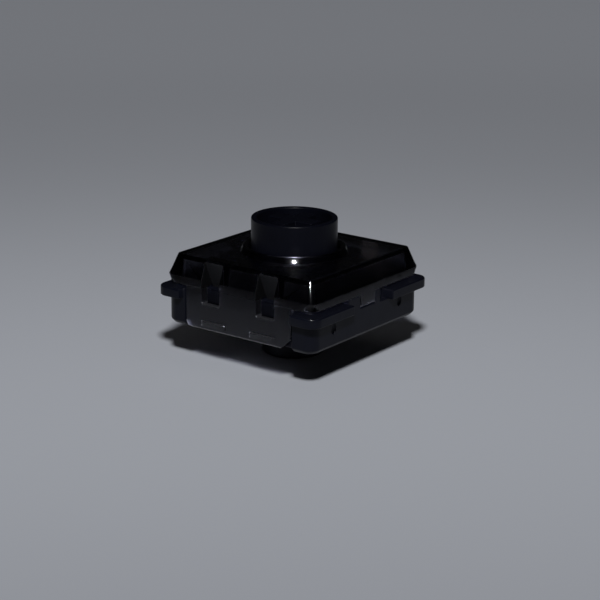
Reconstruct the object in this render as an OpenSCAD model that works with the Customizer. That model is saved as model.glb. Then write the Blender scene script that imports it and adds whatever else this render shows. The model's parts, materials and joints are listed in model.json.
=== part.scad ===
// Low-profile mechanical keyboard switch, in millimetres.
// The origin is on the axis of the centre post, in the plane of the circuit board.
// +Z points to the keycap, -Y is the plain front and +Y the side of the contacts.

/* [Base] */
// Side of the square body below the flange
body_w = 13.9; // [13:0.1:17]
// Corner radius of the body
body_corner_r = 1.0; // [0.7:0.1:1.2]
// Chamfer along the body's bottom edge
body_chamfer = 0.3; // [0.1:0.05:0.4]
// Thickness of the base's floor
floor_t = 0.9; // [0.7:0.05:1.1]
// Floor left under the stem's guide legs
leg_floor_t = 0.5; // [0.3:0.05:0.6]
// Thickness of the base's left and right walls
side_wall_t = 1.05; // [0.9:0.05:1.3]
// Thickness of the base's front and rear walls, behind the cover's skirts
skirt_wall_t = 0.7; // [0.6:0.05:0.9]
// Height of the posts that stop the stem, above the floor
stop_h = 0.7; // [0.7:0.05:0.9]
// Diameter of the centre post
post_d = 5.0; // [4.8:0.1:6]
// Length of the centre post below the circuit board's top
post_len = 2.65; // [2.2:0.05:3.2]
// Plastic left under the spring at the post's end
post_end_t = 0.5; // [0.3:0.05:0.8]

/* [Flange] */
// How far the four flange ears stand out of the body
ear_out = 0.55; // [0.3:0.05:1]
// Height of the ears' underside above the circuit board
flange_z = 2.2; // [2:0.05:2.7]
// Thickness of the ears
flange_t = 0.75; // [0.5:0.05:0.9]
// Outer corner radius of the ears
flange_corner_r = 0.95; // [0.5:0.05:1.5]
// Gap between a skirt's edge and the ears beside it
ear_skirt_gap = 0.25; // [0.1:0.05:0.6]
// Half of the gap between two ears at the left and right
ear_gap_side = 2.5; // [2.2:0.1:4]
// Thickness of the panel held between the ears and the clips
panel_t = 1.46; // [1.2:0.02:1.6]

/* [Cover] */
// Gap between the ears and the cover's band
band_gap = 0.3; // [0.2:0.05:0.4]
// Height of the upright band
band_h = 0.6; // [0.4:0.05:0.8]
// How far the slopes lean in from the band to the top face
slope_in = 0.6; // [0.4:0.05:0.7]
// Corner radius of the band
cover_corner_r = 1.1; // [1:0.05:1.6]
// Thickness of the cover's top
cover_top_t = 0.5; // [0.4:0.05:0.7]
// Wall of the collar round the stem
collar_wall = 0.65; // [0.4:0.05:0.9]
// Height of the collar above the top face
collar_h = 0.4; // [0.2:0.05:0.6]
// Width of the front and rear skirts
skirt_w = 9.9; // [9:0.1:10]
// Thickness of the skirts
skirt_t = 0.65; // [0.5:0.05:0.7]
// Step from the band back to the skirt's face
skirt_step = 0.05; // [0:0.01:0.1]
// Distance from the middle of the skirt to a window's near edge
window_start = 1.72; // [1.5:0.05:2]
// Width of a window
window_w = 1.7; // [1.2:0.05:1.8]
// Drop from the ears' underside to a window's sill
sill_drop = 0.15; // [0:0.05:0.4]
// Drop from the top face to the upper end of a front slot
slot_top_drop = 0.2; // [0.1:0.05:0.6]
// Depth of a front slot behind the skirt's face, at its foot
slot_depth = 1.5; // [1.2:0.05:1.55]
// Wall round a front slot inside the cover
slot_wall = 0.4; // [0.3:0.05:0.6]
// How far a panel clip stands out of the skirt
clip_out = 0.2; // [0.1:0.05:0.3]
// Distance from the middle of the skirt to a clip's near end
clip_start = 1.2; // [0.8:0.1:1.6]
// Width of a panel clip
clip_w = 2.2; // [1:0.1:2.6]
// Width of the locating tabs at the left and right
tab_w = 1.84; // [1.4:0.02:2]
// Length of the locating tabs below the band
tab_len = 0.9; // [0.6:0.05:1]

/* [Stem] */
// Full travel of the stem
travel = 2.5; // [2:0.05:3]
// Height of the stem's rim above the cover's top face, at rest
stem_rise = 2.6; // [2.3:0.1:4]
// Outer diameter of the stem's ring
ring_od = 6.6; // [6.2:0.1:7.9]
// Wall of the stem's ring
ring_wall = 0.45; // [0.35:0.05:0.5]
// Plastic under the pocket round the keycap cross
pocket_floor_t = 0.75; // [0.6:0.05:1]
// Length of the cross's two arms
cross_len = 4.1; // [3.6:0.05:4.3]
// Thickness of the arm along X
cross_t_x = 1.31; // [1:0.01:1.4]
// Thickness of the arm along Y
cross_t_y = 1.17; // [1:0.01:1.4]
// Drop from the rim to the cross's top
cross_drop = 0.15; // [0:0.05:0.5]
// Thickness of the shoulder that stops under the cover
shoulder_t = 0.7; // [0.5:0.05:0.9]
// How far the shoulder reaches past the hole in the cover
shoulder_lip = 0.4; // [0.3:0.05:0.5]
// Width of a guide leg along Y
leg_w = 2.4; // [1.6:0.1:2.6]
// Thickness of a guide leg along X
leg_t = 0.8; // [0.6:0.05:1]
// Gap between a guide leg and the side wall
leg_wall_gap = 0.6; // [0.4:0.05:0.8]
// Diameter of the rod inside the spring
rod_d = 1.7; // [1.2:0.1:2]

/* [Spring] */
// Outer diameter of the spring
spring_od = 3.3; // [2.8:0.1:4]
// Diameter of the spring's wire
wire_d = 0.28; // [0.2:0.02:0.34]
// Number of turns, with the closed turn at each end
spring_turns = 9; // [6:1:10]

/* [Contacts] */
// Thickness of the terminals' sheet metal
sheet_t = 0.2; // [0.15:0.01:0.24]
// Thickness of the leaf
leaf_t = 0.12; // [0.08:0.01:0.15]
// Height of the leaf
leaf_h = 1.4; // [1:0.1:1.6]
// Width of the terminals' pins
pin_w = 1.0; // [0.8:0.05:1.2]
// Length of the pins below the circuit board's top
pin_len = 3.0; // [2.6:0.05:3.6]
// Place of the leaf terminal's pin along X
leaf_pin_x = -5.0; // [-5.1:0.05:-4.95]
// Place of the leaf terminal's pin along Y
leaf_pin_y = 3.8; // [3.5:0.05:4]
// Place of the fixed terminal's pin along X
fixed_pin_x = 0; // [-0.2:0.05:0.3]
// Place of the leaf's root along X
hinge_x = -4.25; // [-4.3:0.05:-4.1]
// Diameter of a contact's head
contact_d = 0.8; // [0.5:0.05:1]
// Open gap between the two contacts at rest
contact_gap = 0.35; // [0.3:0.01:0.4]

/* [Fits] */
// Gap between the housing's parts
seam = 0.05; // [0.03:0.01:0.08]
// Running clearance of the stem's legs, shoulder and cam
run_gap = 0.05; // [0.03:0.01:0.08]
// Radial clearance between the stem's ring and the collar
collar_gap = 0.2; // [0.1:0.05:0.25]
// Gap round the leaf's rolled root
roll_gap = 0.04; // [0.03:0.01:0.06]

/* [Hidden] */
$fn = 48;

navy = [0.07, 0.07, 0.16];
smoke = [0.13, 0.13, 0.15];
brass_tone = [0.78, 0.62, 0.34];
bronze_tone = [0.72, 0.48, 0.28];
silver_tone = [0.85, 0.85, 0.86];
steel_tone = [0.62, 0.63, 0.66];

over = 1;                  // how far a cutting shape runs past a face
joint_lap = 0.1;           // how far two shapes of one piece run into each other

body_half = body_w / 2;
flange_w = body_w + 2 * ear_out;
flange_half = flange_w / 2;
flange_top_z = flange_z + flange_t;
ear_gap_front = skirt_w / 2 + ear_skirt_gap;
cavity_x = body_half - side_wall_t;
skirt_face_y = body_half - skirt_step;
skirt_back_y = skirt_face_y - skirt_t;
wall_face_y = skirt_back_y - seam;
cavity_y = wall_face_y - skirt_wall_t;
cavity_corner_r = 0.4;
neck_in = 0.5;             // how far the wall is set back above the ears
wall_notch_x = body_half - 0.75;   // back of the notches for the cover's tabs

// Heights, built up from the floor through the stem's travel to the rim
stop_z = floor_t + stop_h;
shoulder_z = stop_z + run_gap + travel;
shoulder_top_z = shoulder_z + shoulder_t;
cover_under_z = shoulder_top_z + run_gap;
cover_top_z = cover_under_z + cover_top_t;
stem_top_z = cover_top_z + stem_rise;
pocket_floor_z = shoulder_z + pocket_floor_t;
split_z = flange_top_z + band_gap;
band_top_z = split_z + band_h;
clip_ledge_z = flange_z - panel_t;
skirt_bottom_z = 0.02;

cover_top_w = body_w - 2 * slope_in;
collar_id = ring_od + 2 * collar_gap;
collar_od = collar_id + 2 * collar_wall;
collar_round = 0.15;       // rounding of the collar's two rims

window_end = window_start + window_w;
window_sill_z = flange_z - sill_drop;
hook_top_z = split_z - 0.15;

well_floor_z = post_end_t - post_len;
well_d = spring_od + 0.4;
ring_in_r = ring_od / 2 - ring_wall;
shoulder_w = collar_id + 2 * shoulder_lip;
seat_recess = 0.25;        // depth of the spring's seat under the shoulder
rod_tip_z = well_floor_z + travel + 0.15;
leg_out = cavity_x - leg_wall_gap;
leg_z = leg_floor_t + travel + 0.1;

nose_r = 0.25;
nose_z = shoulder_z - 0.4;
cam_mid_z = nose_z - travel / 2;
leaf_z = cam_mid_z - 0.5;                          // bottom edge of the leaf
leaf_top_z = leaf_z + leaf_h;
leaf_mid_z = leaf_z + leaf_h / 2;

rear_sheet_y = cavity_y + 0.25 + sheet_t / 2;      // mid-plane of the rear sheets
rear_slot_y = rear_sheet_y + sheet_t / 2 + seam;   // back of the slots that hold them
cover_cavity_y = rear_slot_y;
roll_r = 0.2;                                      // rolled root of the leaf
hinge_y = cavity_y - 0.5;
leaf_plate_x = hinge_x + 2.2;                      // right end of the leaf terminal's plate
leaf_end_x = leaf_pin_x - pin_w / 2 - 0.15;        // and the left end, beside its pin
contact_x = 2.9;
contact_t = 0.18;                                  // height of a contact's head
plate_past_contact = 1.2;                          // the fixed plate's reach past its contact
closed_gap = 0.05;                                 // gap left at full travel
fixed_face_y = rear_sheet_y - sheet_t / 2 - contact_t;
leaf_face_y = fixed_face_y - contact_gap;
leaf_tip_y = leaf_face_y - contact_t - leaf_t / 2;
leaf_swing = (contact_gap - closed_gap) / (contact_x - hinge_x);   // radians
cam_slope = leaf_swing * -hinge_x / travel;        // slope of the leaf's cam face
cam_mid_y = hinge_y - 0.3;                         // cam face at its middle height
cam_half_w = 0.7;
nose_tip_y = cam_mid_y + cam_slope * (nose_z - cam_mid_z) - run_gap;

coil_steps = 20;           // rings of the wire per turn
wire_sides = 8;
coil_gap = 0.01;           // gap at the seats, and between the closed turns
coil_low_z = well_floor_z + wire_d / 2 + coil_gap;
coil_high_z = shoulder_z + seat_recess - wire_d / 2 - coil_gap;
closed_rise = wire_d + coil_gap;
open_rise = (coil_high_z - coil_low_z - 2 * closed_rise) / (spring_turns - 2);

// A square with round corners, centred on the axis.
module rounded_square(w, r) {
    rounded_rect(w, w, r);
}

// A rectangle with round corners, centred on the axis.
module rounded_rect(w, d, r) {
    square([w - 2 * r, d], center = true);
    square([w, d - 2 * r], center = true);
    for (x = [-1, 1], y = [-1, 1])
        translate([x * (w / 2 - r), y * (d / 2 - r)]) circle(r);
}

// A square frustum whose round corners widen or narrow with its faces.
module rounded_frustum(w_low, w_high, h, r_low) {
    corner = w_low / 2 - r_low;
    r_high = r_low + (w_high - w_low) / 2;
    side = [[-w_low / 2, 0], [w_low / 2, 0], [w_high / 2, h], [-w_high / 2, h]];
    for (turn = [90, 180])
        rotate([90, 0, turn]) linear_extrude(2 * corner, center = true) polygon(side);
    for (x = [-1, 1], y = [-1, 1])
        translate([x * corner, y * corner]) cylinder(h = h, r1 = r_low, r2 = r_high);
}

// Places its children at the front and turned half round at the rear.
module front_and_rear() {
    for (turn = [0, 180]) rotate([0, 0, turn]) children();
}

// Places its children at the left and right of the middle plane.
module both_sides() {
    children();
    mirror([1, 0, 0]) children();
}

// A box given by its lower and upper corners.
module span(low, high) {
    translate(low) cube(high - low);
}

// An outline in the YZ plane, drawn out along X from x0 to x1.
module profile_along_x(x0, x1, points) {
    translate([x0, 0, 0]) rotate([90, 0, 90]) linear_extrude(x1 - x0) polygon(points);
}

// ---- base ----

module ears() {
    translate([0, 0, flange_z]) linear_extrude(flange_t) difference() {
        rounded_square(flange_w, flange_corner_r);
        square([2 * ear_gap_front, flange_w + over], center = true);
        square([flange_w + over, 2 * ear_gap_side], center = true);
    }
}

module base_shell() {
    rounded_frustum(body_w - 2 * body_chamfer, body_w, body_chamfer, body_corner_r - body_chamfer);
    translate([0, 0, body_chamfer])
        linear_extrude(flange_top_z - body_chamfer) rounded_square(body_w, body_corner_r);
    neck_z = flange_top_z - joint_lap;
    translate([0, 0, neck_z])
        linear_extrude(split_z - neck_z) rounded_square(body_w - 2 * neck_in, body_corner_r - neck_in);
    span([-body_half, -ear_gap_side, neck_z], [body_half, ear_gap_side, split_z]);
    ears();
}

module skirt_recess() {
    half = skirt_w / 2 + 2 * seam;
    span([-half, -flange_half - over, -over], [half, -wall_face_y, split_z + over]);
}

module snap_hook() {
    face = skirt_face_y - 0.35;
    ledge_z = window_sill_z + seam;
    side_gap = 0.12;
    profile_along_x(window_start + side_gap, window_end - side_gap,
        [[-wall_face_y + joint_lap, ledge_z], [-face, ledge_z], [-face, hook_top_z - 0.25],
         [-face + 0.15, hook_top_z], [-wall_face_y + joint_lap, hook_top_z]]);
}

module side_details() {
    // seat of the cover's tab
    span([wall_notch_x, -tab_w / 2 - 0.08, split_z - tab_len - 0.1],
         [body_half + over, tab_w / 2 + 0.08, split_z + over]);
    // relief beside the rear ear
    span([body_half - neck_in, ear_gap_side - 0.9, flange_z],
         [flange_half + over, ear_gap_side, split_z + over]);
    // two small recesses under the ears
    for (y = [-4.35, 4.55])
        span([body_half - 0.35, y - 0.23, 1.05], [body_half + over, y + 0.23, 1.75]);
}

module guide_ribs() {
    for (y = [-1, 1]) {
        near = leg_w / 2 + run_gap;
        y0 = y > 0 ? near : -near - 0.6;
        span([leg_out - 0.6, y0, floor_t - joint_lap],
             [cavity_x + joint_lap, y0 + 0.6, split_z - joint_lap]);
        span([leg_out - 0.6, y0, split_z - 2 * joint_lap],
             [cavity_x - seam, y0 + 0.6, shoulder_z - 0.15]);
    }
}

module leg_pocket() {
    span([leg_out - leg_t - run_gap, -leg_w / 2 - run_gap, leg_floor_t],
         [leg_out + run_gap, leg_w / 2 + run_gap, floor_t + over]);
}

module stop_posts() {
    place = shoulder_w / 2 - 0.7;
    for (x = [-place, place], y = [-place, place])
        translate([x, y, floor_t - joint_lap]) cylinder(d = 1, h = stop_h + joint_lap);
}

// Slots in the rear wall and floor that hold the two terminals.
module terminal_slots() {
    half = sheet_t / 2 + seam;
    span([leaf_end_x - seam, cavity_y - over, floor_t], [leaf_plate_x + seam, rear_slot_y, split_z + over]);
    span([leaf_pin_x - pin_w / 2 - seam, leaf_pin_y - half, -over],
         [leaf_pin_x + pin_w / 2 + seam, leaf_pin_y + half, floor_t + over]);
    span([fixed_pin_x - pin_w / 2 - seam, cavity_y - over, floor_t],
         [contact_x + plate_past_contact + seam, rear_slot_y, split_z + over]);
    span([fixed_pin_x - pin_w / 2 - seam, rear_sheet_y - half, -over],
         [fixed_pin_x + pin_w / 2 + seam, rear_sheet_y + half, floor_t + over]);
}

module base_housing() {
    color(navy) {
        difference() {
            union() {
                base_shell();
                translate([0, 0, -post_len]) cylinder(d1 = post_d - 0.4, d2 = post_d, h = 0.2);
                translate([0, 0, 0.2 - post_len]) cylinder(d = post_d, h = post_len);
            }
            translate([0, 0, floor_t]) linear_extrude(split_z)
                rounded_rect(2 * cavity_x, 2 * cavity_y, cavity_corner_r);
            front_and_rear() skirt_recess();
            both_sides() side_details();
            both_sides() leg_pocket();
            translate([0, 0, well_floor_z]) cylinder(d = well_d, h = post_len + floor_t);
            // lower wall behind the front slots
            both_sides() span([window_start - seam, -body_half, hook_top_z],
                              [window_end + seam, -cavity_y + over, split_z + over]);
            terminal_slots();
        }
        front_and_rear() both_sides() snap_hook();
        both_sides() guide_ribs();
        stop_posts();
        // shelf under the leaf's root
        translate([hinge_x, hinge_y, floor_t - joint_lap])
            cylinder(r = 2 * roll_r, h = leaf_z - run_gap - floor_t + joint_lap);
    }
}

// ---- cover ----

// Half section of the collar: flat inside, with both rims rounded.
module collar() {
    r_in = collar_id / 2;
    r_out = collar_od / 2;
    top = cover_top_z + collar_h;
    rotate_extrude() {
        translate([r_in, cover_top_z - joint_lap])
            square([r_out - r_in, collar_h + joint_lap - collar_round]);
        translate([r_in + collar_round, cover_top_z])
            square([r_out - r_in - 2 * collar_round, collar_h]);
        for (r = [r_in + collar_round, r_out - collar_round])
            translate([r, top - collar_round]) circle(collar_round);
    }
}

// The skirt's upright plate with its lower edge chamfered along its outer face.
module skirt() {
    half = skirt_w / 2;
    out = -skirt_face_y;
    in = -skirt_back_y;
    intersection() {
        profile_along_x(-half, half,
            [[in, skirt_bottom_z], [out + body_chamfer, skirt_bottom_z],
             [out, skirt_bottom_z + body_chamfer], [out, split_z + joint_lap],
             [in, split_z + joint_lap]]);
        // one lower corner is round and the other cut at a slant
        rotate([90, 0, 0]) linear_extrude(flange_w) {
            round_r = 0.5;
            cut_w = 1.0;
            cut_h = 0.85;
            polygon([[-half + round_r, skirt_bottom_z], [half - cut_w, skirt_bottom_z],
                     [half, skirt_bottom_z + cut_h], [half, split_z + over],
                     [-half, split_z + over], [-half, skirt_bottom_z + round_r],
                     [-half + round_r, skirt_bottom_z + round_r]]);
            translate([-half + round_r, skirt_bottom_z + round_r]) circle(round_r);
        }
    }
    both_sides() profile_along_x(clip_start, clip_start + clip_w,
        [[out + joint_lap, skirt_bottom_z + body_chamfer], [out, skirt_bottom_z + body_chamfer],
         [out - clip_out, clip_ledge_z], [out + joint_lap, clip_ledge_z]]);
}

// Window through the skirt, with round lower corners.
module window(top_z) {
    r = 0.25;
    rotate([90, 0, 0]) linear_extrude(flange_half + over) {
        translate([window_start, window_sill_z + r]) square([window_w, top_z - window_sill_z - r]);
        translate([window_start + r, window_sill_z]) square([window_w - 2 * r, 2 * r]);
        for (x = [window_start + r, window_end - r])
            translate([x, window_sill_z + r]) circle(r);
    }
}

// Slot that runs from the window up the slope and deepens towards its foot.
module front_slot() {
    foot_y = slot_depth - skirt_face_y;
    foot_z = split_z - over;
    slot_top_z = cover_top_z - slot_top_drop;
    top_y = -body_half + slope_in * (slot_top_z - band_top_z) / (cover_top_z - band_top_z);
    bend_z = split_z + 0.4 * (slot_top_z - split_z);
    mid_z = (bend_z + slot_top_z) / 2;
    profile_along_x(window_start, window_end,
        [[-flange_half, foot_z], [foot_y, foot_z], [foot_y, bend_z],
         [foot_y + 0.44 * (top_y - foot_y), mid_z], [top_y, slot_top_z],
         [-flange_half, slot_top_z]]);
}

module slot_housing() {
    span([window_start - slot_wall, -cover_cavity_y - joint_lap, split_z + seam],
         [window_end + slot_wall, slot_depth - skirt_face_y + slot_wall, cover_under_z + joint_lap]);
}

module top_cover() {
    color(smoke) difference() {
        union() {
            difference() {
                union() {
                    translate([0, 0, split_z])
                        linear_extrude(band_h) rounded_square(body_w, cover_corner_r);
                    translate([0, 0, band_top_z])
                        rounded_frustum(body_w, cover_top_w, cover_top_z - band_top_z, cover_corner_r);
                    front_and_rear() skirt();
                    both_sides() span([wall_notch_x + seam, -tab_w / 2, split_z - tab_len],
                                      [body_half, tab_w / 2, split_z + joint_lap]);
                }
                translate([0, 0, split_z - over]) linear_extrude(cover_under_z - split_z + over)
                    rounded_rect(2 * cavity_x, 2 * cover_cavity_y, cavity_corner_r);
            }
            collar();
            both_sides() slot_housing();
        }
        translate([0, 0, cover_under_z - over])
            cylinder(d = collar_id, h = cover_top_t + collar_h + 2 * over);
        both_sides() window(split_z);
        both_sides() front_slot();
        rotate([0, 0, 180]) both_sides() window(split_z - 0.1);
    }
}

// ---- stem ----

// The ring with its floor, its rim rounded inside and outside.
module stem_ring() {
    rim = 0.12;
    r_out = ring_od / 2;
    rotate_extrude() {
        translate([0, shoulder_z]) square([r_out, pocket_floor_z - shoulder_z]);
        translate([ring_in_r, shoulder_z]) square([ring_wall, stem_top_z - rim - shoulder_z]);
        translate([ring_in_r + rim, shoulder_z]) square([ring_wall - 2 * rim, stem_top_z - shoulder_z]);
        for (r = [ring_in_r + rim, r_out - rim])
            translate([r, stem_top_z - rim]) circle(rim);
    }
}

module keycap_cross() {
    h = stem_top_z - cross_drop - pocket_floor_z + joint_lap;
    translate([0, 0, pocket_floor_z - joint_lap]) linear_extrude(h) {
        square([cross_len, cross_t_x], center = true);
        square([cross_t_y, cross_len], center = true);
    }
}

// Lug with a round nose that runs down the leaf's cam face.
module cam_lug() {
    half_w = 0.3;
    nose_y = nose_tip_y - nose_r;
    span([-half_w, shoulder_w / 2 - 0.4, nose_z - nose_r], [half_w, nose_y, shoulder_z + joint_lap]);
    translate([-half_w, nose_y, nose_z]) rotate([0, 90, 0]) cylinder(r = nose_r, h = 2 * half_w);
    span([-half_w, nose_y - joint_lap, nose_z], [half_w, nose_y + nose_r, shoulder_z + joint_lap]);
}

// Rod inside the spring, with a tapered tip.
module guide_rod() {
    tip_h = 0.4;
    top_z = shoulder_z + seat_recess + joint_lap;
    translate([0, 0, rod_tip_z]) cylinder(d1 = rod_d - 0.5, d2 = rod_d, h = tip_h);
    translate([0, 0, rod_tip_z + tip_h]) cylinder(d = rod_d, h = top_z - rod_tip_z - tip_h);
}

module stem() {
    color(navy) {
        difference() {
            union() {
                stem_ring();
                translate([0, 0, shoulder_z]) linear_extrude(shoulder_top_z - shoulder_z) {
                    rounded_square(shoulder_w, 0.8);
                    square([2 * leg_out, leg_w], center = true);
                }
            }
            translate([0, 0, pocket_floor_z]) cylinder(r = ring_in_r, h = stem_top_z - pocket_floor_z + over);
            translate([0, 0, shoulder_z - over]) cylinder(d = well_d, h = seat_recess + over);
        }
        keycap_cross();
        both_sides()
            span([leg_out - leg_t, -leg_w / 2, leg_z], [leg_out, leg_w / 2, shoulder_z + joint_lap]);
        cam_lug();
        guide_rod();
    }
}

// ---- spring ----

// Height of the wire's middle after t turns: one closed turn at each end.
function coil_z(t) =
    t < 1 ? coil_low_z + closed_rise * t :
    t > spring_turns - 1 ? coil_high_z - closed_rise * (spring_turns - t) :
    coil_low_z + closed_rise + open_rise * (t - 1);

function coil_point(t, side) =
    let (turn = 360 * t, a = 360 * side / wire_sides, r = (spring_od - wire_d + wire_d * cos(a)) / 2)
    [r * cos(turn), r * sin(turn), coil_z(t) + wire_d / 2 * sin(a)];

module return_spring() {
    rings = spring_turns * coil_steps;
    points = [for (i = [0:rings], k = [0:wire_sides - 1]) coil_point(i / coil_steps, k)];
    sides = [for (i = [0:rings - 1], k = [0:wire_sides - 1])
        let (a = i * wire_sides + k, b = i * wire_sides + (k + 1) % wire_sides)
        [a, a + wire_sides, b + wire_sides, b]];
    first = [for (k = [0:wire_sides - 1]) k];
    last = [for (k = [wire_sides - 1:-1:0]) rings * wire_sides + k];
    color(steel_tone) polyhedron(points, concat(sides, [first, last]), convexity = 10);
}

// ---- contacts ----

// A pin with a pointed end, in a sheet that lies in the XZ plane at y.
module sheet_pin(x, y, top_z) {
    half = pin_w / 2;
    translate([x, y + sheet_t / 2, 0]) rotate([90, 0, 0]) linear_extrude(sheet_t)
        polygon([[-half, top_z], [-half, -pin_len + 0.7], [-half / 2, -pin_len],
                 [half / 2, -pin_len], [half, -pin_len + 0.7], [half, top_z]]);
}

// A straight strip of sheet in plan, from a to b, drawn out between two heights.
module strip(a, b, t, low, high) {
    along = b - a;
    translate([a[0], a[1], low]) rotate([0, 0, atan2(along[1], along[0])])
        translate([0, -t / 2, 0]) cube([norm(along), t, high - low]);
}

module leaf_terminal() {
    half = sheet_t / 2;
    in_r = roll_r + roll_gap;
    out_r = in_r + sheet_t;
    plate_low = floor_t + seam;
    side_top = leaf_top_z - 0.2;
    color(brass_tone) {
        sheet_pin(leaf_pin_x, leaf_pin_y, plate_low + joint_lap);
        span([leaf_end_x, leaf_pin_y - half, plate_low],
             [leaf_pin_x + pin_w / 2, leaf_pin_y + half, side_top]);
        span([leaf_end_x, leaf_pin_y - half, plate_low],
             [leaf_end_x + sheet_t, rear_sheet_y + half, side_top]);
        span([leaf_end_x, rear_sheet_y - half, plate_low], [hinge_x, rear_sheet_y + half, side_top]);
        span([hinge_x - out_r, rear_sheet_y - half, plate_low],
             [leaf_plate_x, rear_sheet_y + half, leaf_top_z + 0.3]);
        span([hinge_x - out_r, hinge_y, leaf_z], [hinge_x - in_r, rear_sheet_y, leaf_top_z]);
        // curl that holds the leaf's root, open towards the leaf
        translate([hinge_x, hinge_y, leaf_z]) difference() {
            cylinder(r = out_r, h = leaf_h);
            translate([0, 0, -over]) cylinder(r = in_r, h = leaf_h + 2 * over);
            translate([0.5 * in_r, -out_r, -over]) cube([out_r, 2 * out_r, leaf_h + 2 * over]);
        }
    }
}

module contact_leaf() {
    // the arm stays behind the cam face over its whole height
    cam_y = cam_mid_y + cam_slope * (leaf_top_z - cam_mid_z) + leaf_t / 2;
    top = nose_z + 0.2;
    low = nose_z - travel - 0.15;
    color(bronze_tone) {
        translate([hinge_x, hinge_y, leaf_z]) cylinder(r = roll_r, h = leaf_h);
        strip([hinge_x, hinge_y], [-cam_half_w, cam_y], leaf_t, leaf_z, leaf_top_z);
        strip([-cam_half_w, cam_y], [cam_half_w, cam_y], leaf_t, leaf_z, leaf_top_z);
        strip([cam_half_w, cam_y], [contact_x - 0.7, leaf_tip_y], leaf_t, leaf_z, leaf_top_z);
        strip([contact_x - 0.7, leaf_tip_y], [contact_x + 0.45, leaf_tip_y], leaf_t, leaf_z, leaf_top_z);
        profile_along_x(-cam_half_w, cam_half_w,
            [for (side = [[0, low], [leaf_t, low], [leaf_t, top], [0, top]])
                [cam_mid_y + side[0] + cam_slope * (side[1] - cam_mid_z), side[1]]]);
    }
}

// The round head of a contact, standing out of a sheet towards +Y or -Y.
module contact_head(y, direction) {
    translate([contact_x, y, leaf_mid_z]) rotate([direction > 0 ? -90 : 90, 0, 0])
        cylinder(d = contact_d, h = contact_t);
}

module leaf_contact_point() {
    color(silver_tone) contact_head(leaf_tip_y + leaf_t / 2, 1);
}

module fixed_terminal() {
    half = sheet_t / 2;
    near_x = contact_x - 0.6;
    plate_low = floor_t + seam;
    color(brass_tone) {
        sheet_pin(fixed_pin_x, rear_sheet_y, plate_low + joint_lap);
        // foot that reaches from the pin to the contact's plate
        span([fixed_pin_x - pin_w / 2, rear_sheet_y - half, plate_low],
             [near_x + joint_lap, rear_sheet_y + half, plate_low + 1]);
        span([near_x, rear_sheet_y - half, plate_low],
             [contact_x + plate_past_contact, rear_sheet_y + half, leaf_top_z - 0.2]);
        // tongue that stands up into the cover
        span([near_x, rear_sheet_y - half, plate_low],
             [contact_x + 0.75, rear_sheet_y + half, cover_under_z - seam]);
    }
}

module fixed_contact_point() {
    color(silver_tone) contact_head(rear_sheet_y - sheet_t / 2, -1);
}

base_housing();
top_cover();
stem();
return_spring();
leaf_terminal();
contact_leaf();
leaf_contact_point();
fixed_terminal();
fixed_contact_point();
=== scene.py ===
import json
import math

import bmesh
import bpy
from mathutils import Matrix, Vector


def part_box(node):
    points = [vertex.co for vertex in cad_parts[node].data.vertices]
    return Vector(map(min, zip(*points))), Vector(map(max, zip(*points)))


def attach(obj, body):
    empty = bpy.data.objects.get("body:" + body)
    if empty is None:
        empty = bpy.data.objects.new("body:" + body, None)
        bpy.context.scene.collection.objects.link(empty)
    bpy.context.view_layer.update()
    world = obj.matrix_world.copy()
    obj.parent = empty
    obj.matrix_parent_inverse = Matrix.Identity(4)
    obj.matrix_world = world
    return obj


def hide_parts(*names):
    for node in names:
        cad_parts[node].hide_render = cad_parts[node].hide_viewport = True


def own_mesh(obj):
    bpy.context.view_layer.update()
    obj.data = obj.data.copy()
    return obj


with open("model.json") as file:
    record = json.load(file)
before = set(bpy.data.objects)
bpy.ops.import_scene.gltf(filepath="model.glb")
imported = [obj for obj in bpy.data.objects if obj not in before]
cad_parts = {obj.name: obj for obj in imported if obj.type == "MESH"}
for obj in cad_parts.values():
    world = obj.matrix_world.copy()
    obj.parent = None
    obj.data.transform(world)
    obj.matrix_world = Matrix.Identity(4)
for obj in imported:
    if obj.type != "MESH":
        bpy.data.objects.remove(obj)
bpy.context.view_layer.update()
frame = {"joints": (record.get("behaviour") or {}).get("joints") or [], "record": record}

MM = 0.001
NEAR = 1e-6


# ---------------------------------------------------------------- places, in millimetres

def box_mm(node):
    low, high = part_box(node)
    return low / MM, high / MM


base_low, base_high = box_mm("base_housing")
cover_high = box_mm("top_cover")[1]
stem_low, stem_high = box_mm("stem")
coil_low, coil_high = box_mm("return_spring")
terminal_low, terminal_high = box_mm("leaf_terminal")
tongue_high = box_mm("fixed_terminal")[1]
leaf_low, leaf_high = box_mm("contact_leaf")
rivet_low, rivet_high = box_mm("leaf_contact_point")
anvil_low, anvil_high = box_mm("fixed_contact_point")

press = next(j for j in frame["joints"] if j["name"] == "stem_press")
flex = next(j for j in frame["joints"] if j["name"] == "leaf_flex")
travel = press["range_m"][1] / MM
hinge_x, hinge_y = (v / MM for v in flex["pos_m"][:2])
mounts = {m["name"]: m for m in frame["record"]["mounts"]}
leaf_pin_x, leaf_pin_y = (v / MM for v in mounts["leaf_pin"]["pos_m"][:2])
fixed_pin_x = mounts["fixed_pin"]["pos_m"][0] / MM

OVER = 1                            # how far a cutter reaches past what it cuts
LAP = 0.1                           # how far joined solids reach into each other
SEAM = 0.05                         # gap between the housing's parts

body_half = cover_high.x            # half of the square body
flange_half = base_high.x           # half of the square that the ears reach
collar_top = cover_high.z
rim_z = stem_high.z
post_z = base_low.z
post_r = mounts["centre_post"]["dims"]["r_mm"]
floor_z = terminal_low.z            # the plane that the pins' tips stand on

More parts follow.
